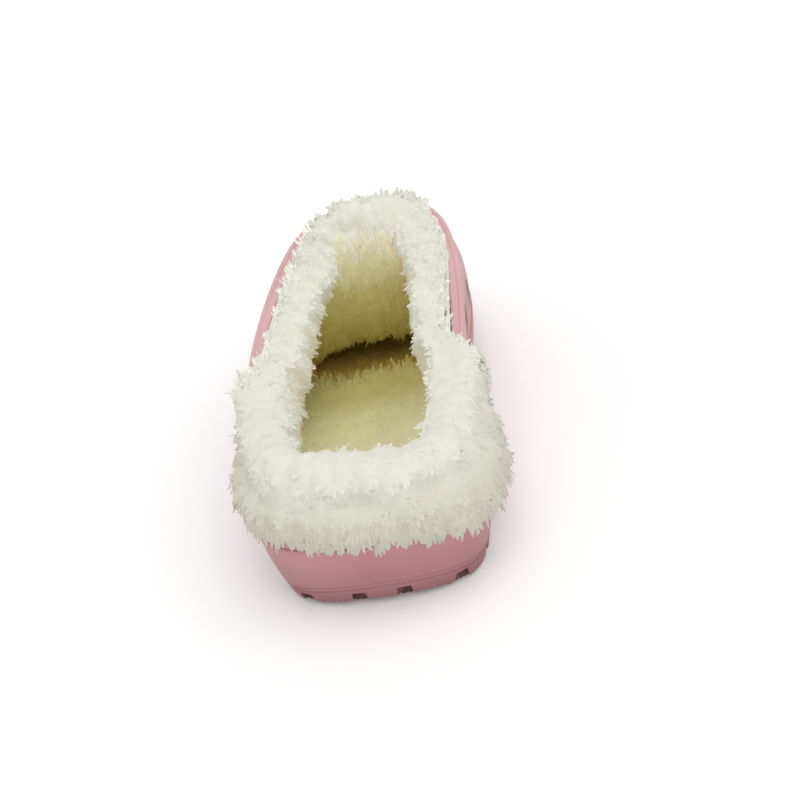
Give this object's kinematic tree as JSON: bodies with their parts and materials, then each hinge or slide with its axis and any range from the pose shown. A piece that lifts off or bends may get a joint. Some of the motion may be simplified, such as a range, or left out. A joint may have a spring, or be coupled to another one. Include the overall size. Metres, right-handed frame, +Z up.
{
  "type": "mule slipper",
  "caption": "Backless foam clog slipper with a hollow vented upper, a cup sole with tread lugs, a fleece footbed and a deep fleece cuff folded over the heel.",
  "frame": {"origin": "middle of the bounding box at floor level, under the tread", "axes": "+Y from heel to toe, +X towards the medial side, +Z up"},
  "size_m": [0.1076, 0.2762, 0.1082],
  "materials": {
    "foam": "satin moulded foam, dusty pink",
    "fleece": "curly cream fleece",
    "stud": "satin dark grey"
  },
  "bodies": {
    "root": {"sole": "foam", "upper": "foam", "insole": "fleece", "fleece_cuff": "fleece", "side_stud_medial": "stud", "side_stud_lateral": "stud"}
  },
  "joints": []
}
